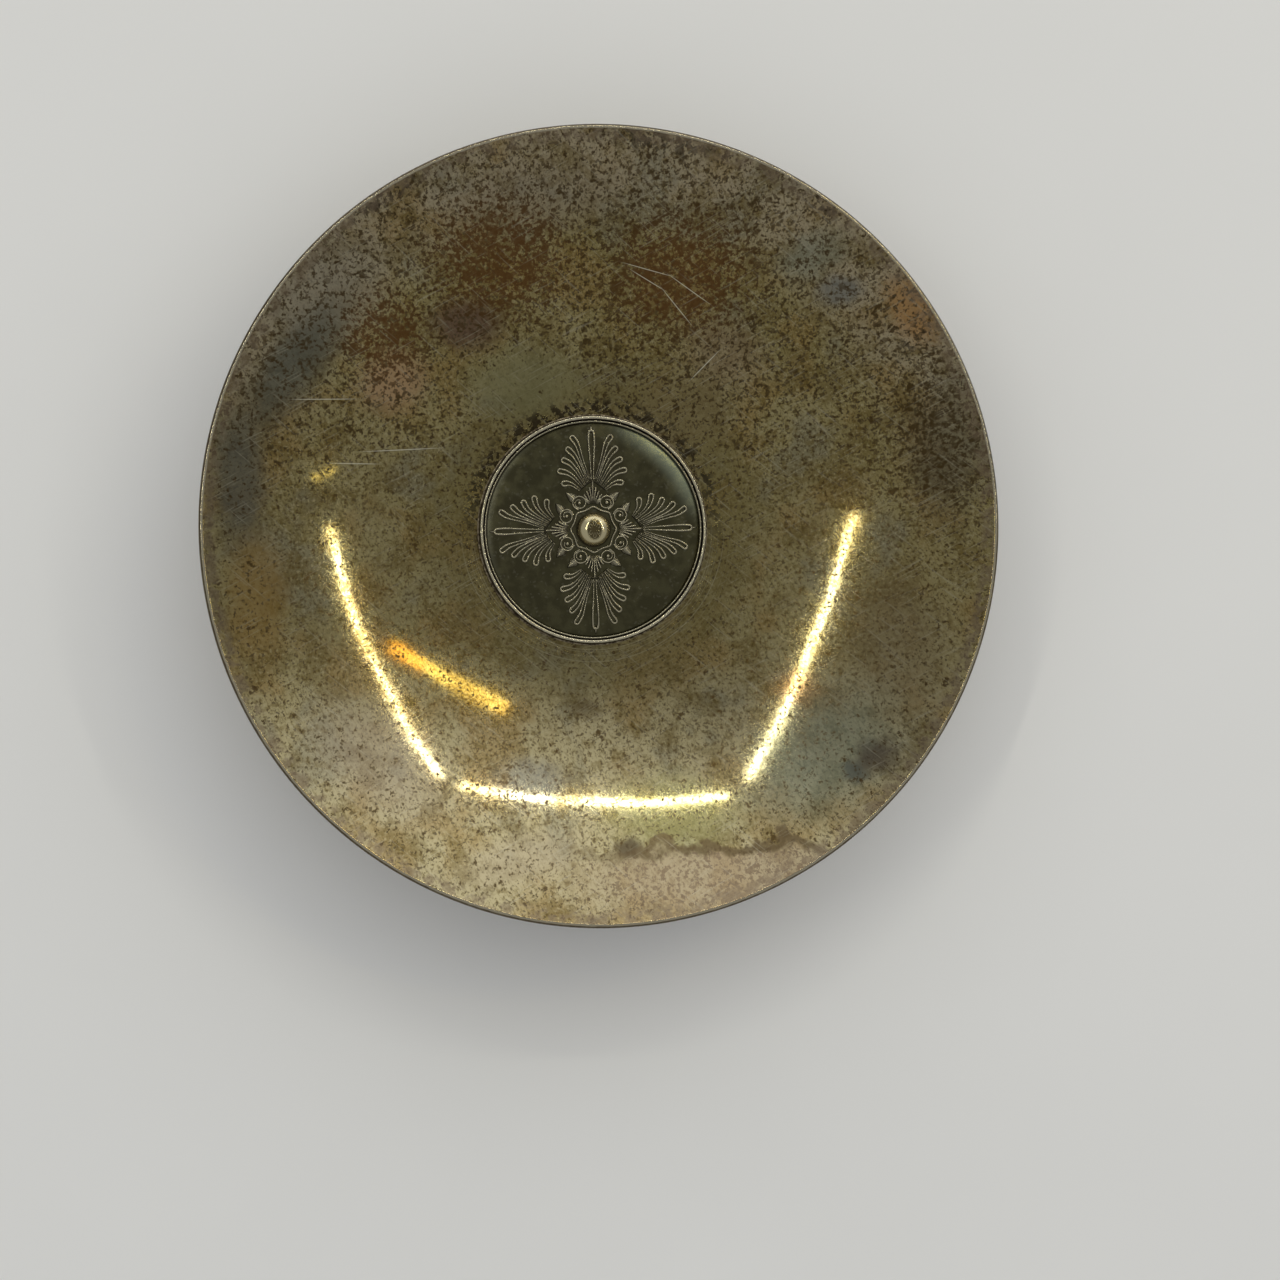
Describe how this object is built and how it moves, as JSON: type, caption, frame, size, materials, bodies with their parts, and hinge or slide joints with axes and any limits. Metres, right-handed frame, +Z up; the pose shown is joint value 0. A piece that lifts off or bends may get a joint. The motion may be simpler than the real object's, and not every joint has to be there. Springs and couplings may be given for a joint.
{
  "type": "footed silver dish",
  "caption": "Shallow round silver dish on a low ring foot, with a plain rounded rim and a round ornamental medallion of palmettes and scrolls in the middle.",
  "frame": {"origin": "on the table plane at the middle of the ring foot, on the dish's axis", "axes": "+Z up along the dish's axis, out of its open side; +Y towards the north palmette, +X towards the east palmette"},
  "size_m": [0.116, 0.116, 0.021],
  "materials": {
    "tarnished_silver": "sterling silver sheet under an uneven olive-brown tarnish film, with specks, stains and fine scratches",
    "oxidised_silver": "smooth dark oxidised sterling silver, semi-gloss",
    "relief_silver": "cast sterling silver, dark in the hollows and rubbed bright on the high edges",
    "bright_silver": "rubbed sterling silver wire, worn bright along its crest",
    "polished_silver": "polished sterling silver with a thin yellow tarnish",
    "silver_solder": "dull dark silver solder with dirt in the corner"
  },
  "bodies": {
    "root": {"bowl": "tarnished_silver", "foot_ring": "tarnished_silver", "foot_solder_seam": "silver_solder", "medallion_disc": "oxidised_silver", "medallion_solder_seam": "silver_solder", "border_wire": "bright_silver", "inner_wire": "relief_silver", "boss_frame": "relief_silver", "centre_boss": "polished_silver", "palmette_north": "relief_silver", "palmette_east": "relief_silver", "palmette_south": "relief_silver", "palmette_west": "relief_silver", "calyx_north": "relief_silver", "calyx_east": "relief_silver", "calyx_south": "relief_silver", "calyx_west": "relief_silver"}
  },
  "joints": []
}
